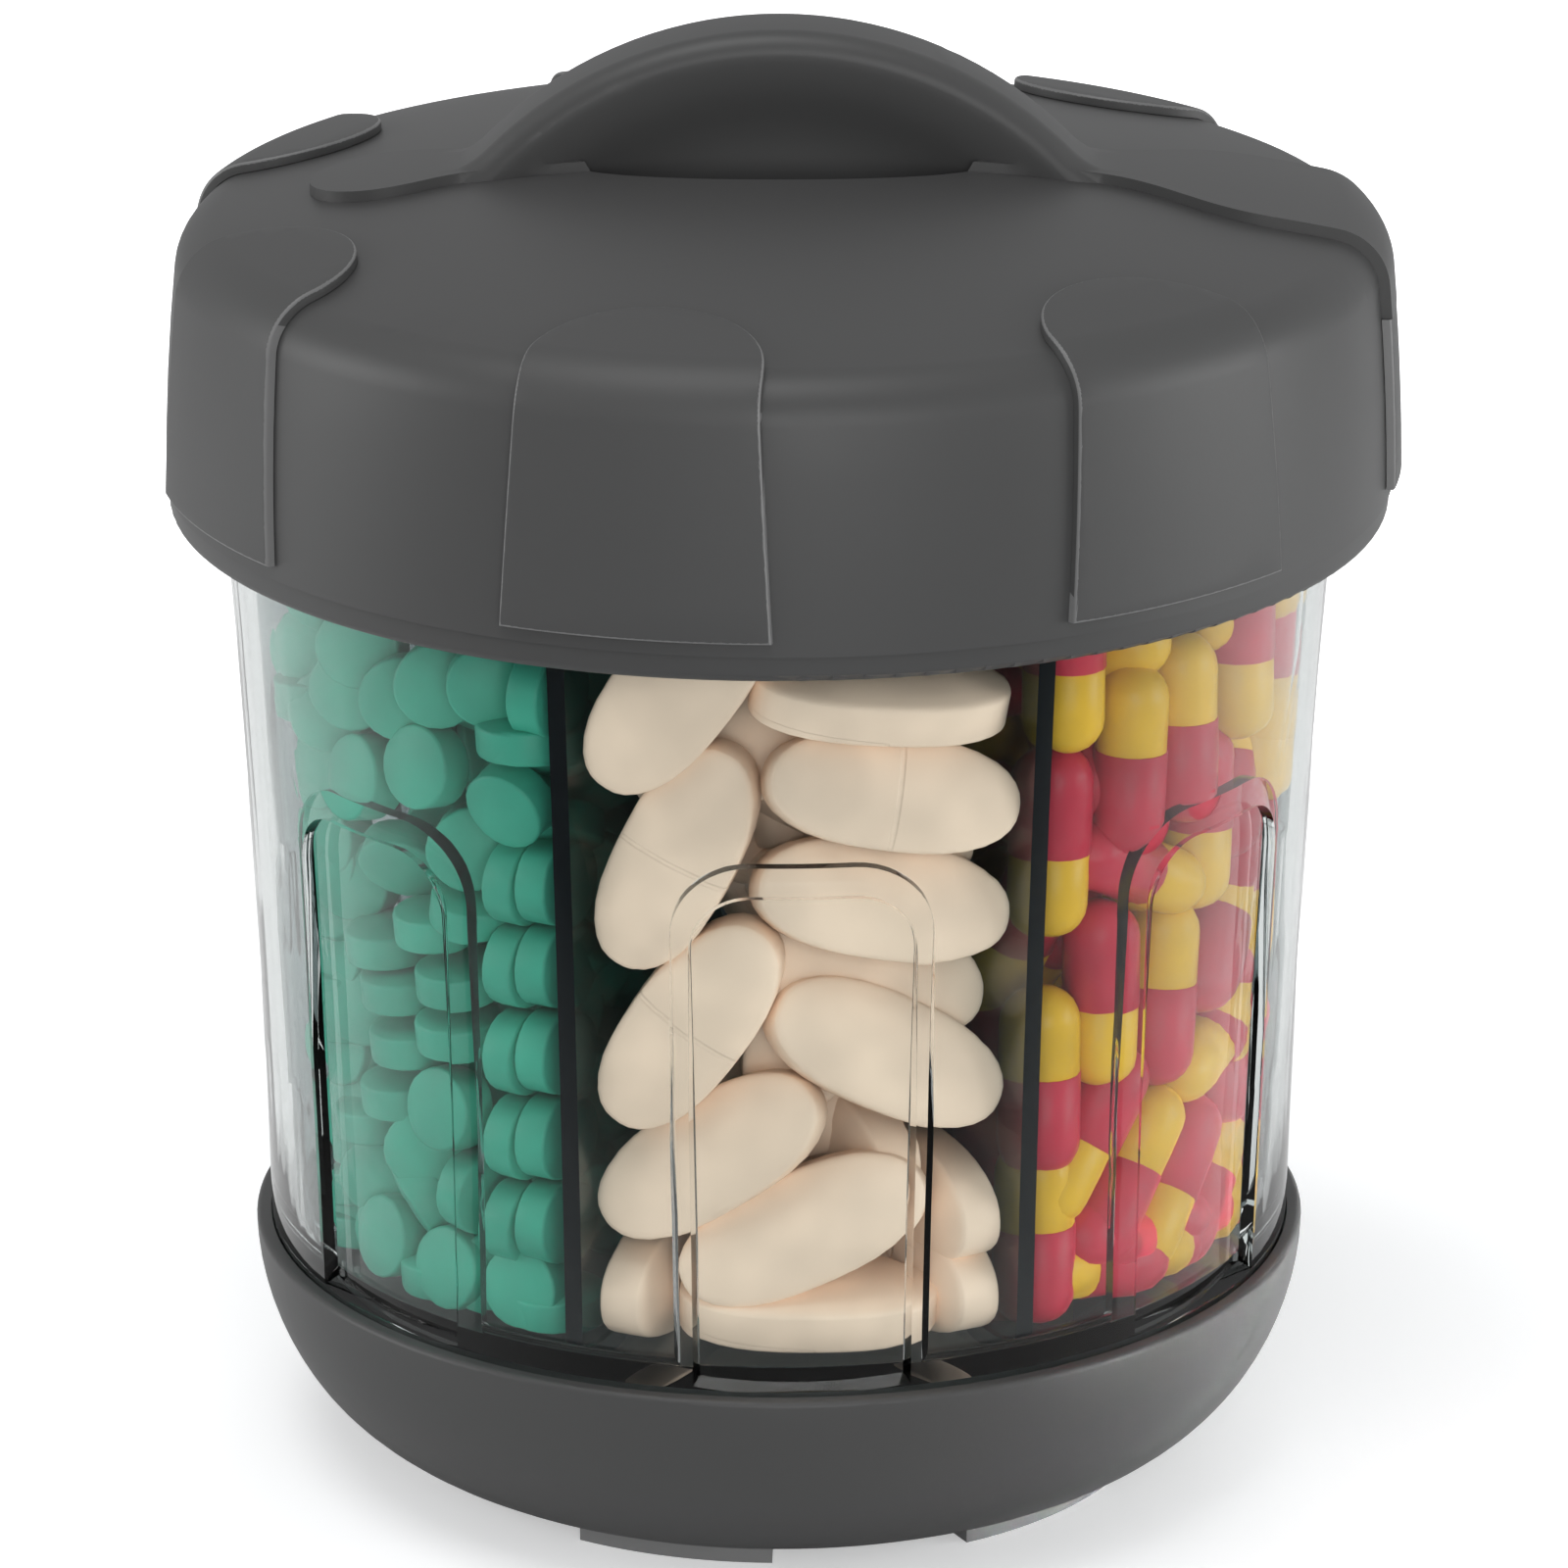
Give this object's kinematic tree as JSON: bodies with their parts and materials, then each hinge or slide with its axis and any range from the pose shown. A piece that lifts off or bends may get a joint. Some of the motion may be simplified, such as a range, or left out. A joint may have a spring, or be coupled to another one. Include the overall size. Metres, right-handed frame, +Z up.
{
  "type": "weekly pill organizer",
  "caption": "Round weekly pill organiser: a clear compartmented canister on a rounded dark base, with a domed lift-off lid and a finger grip.",
  "frame": {"origin": "centre of the circle that the foot pads stand on, on the surface below", "axes": "+Z up along the canister's axis; -Y towards the viewer of the picture; the carry handle runs along X"},
  "size_m": [0.11, 0.1108, 0.132],
  "materials": {
    "shell_plastic": "satin",
    "pad_rubber": "matte",
    "foot_rubber": "matte",
    "clear_plastic": "polished",
    "divider_plastic": "polished",
    "liner_plastic": "satin",
    "seal_silicone": "matte",
    "screw_steel": "brushed"
  },
  "bodies": {
    "canister_body": {"base_bowl": "shell_plastic", "foot_pad_1": "foot_rubber", "foot_pad_2": "foot_rubber", "foot_pad_3": "foot_rubber", "foot_pad_4": "foot_rubber", "foot_pad_5": "foot_rubber", "foot_pad_6": "foot_rubber", "canister": "clear_plastic", "divider_insert": "divider_plastic", "hub_cap": "divider_plastic"},
    "seal": {"seal_ring": "seal_silicone"},
    "lid": {"lid_shell": "shell_plastic", "grip_pad_1": "pad_rubber", "grip_pad_2": "pad_rubber", "grip_pad_3": "pad_rubber", "grip_pad_4": "pad_rubber", "grip_pad_5": "pad_rubber", "grip_pad_6": "pad_rubber", "grip_pad_7": "pad_rubber", "carry_handle": "shell_plastic", "handle_screws": "screw_steel", "lid_liner": "liner_plastic", "liner_screws": "screw_steel", "lid_gasket": "seal_silicone"}
  },
  "joints": [
    {"name": "lid_lift", "type": "slide", "parent": "canister_body", "child": "seal", "axis": [0, 0, 1], "range_m": [0, 0.04]},
    {"name": "lid_turn", "type": "hinge", "parent": "seal", "child": "lid", "pos_m": [0, 0, 0.1024], "axis": [0, 0, 1], "continuous": true}
  ]
}
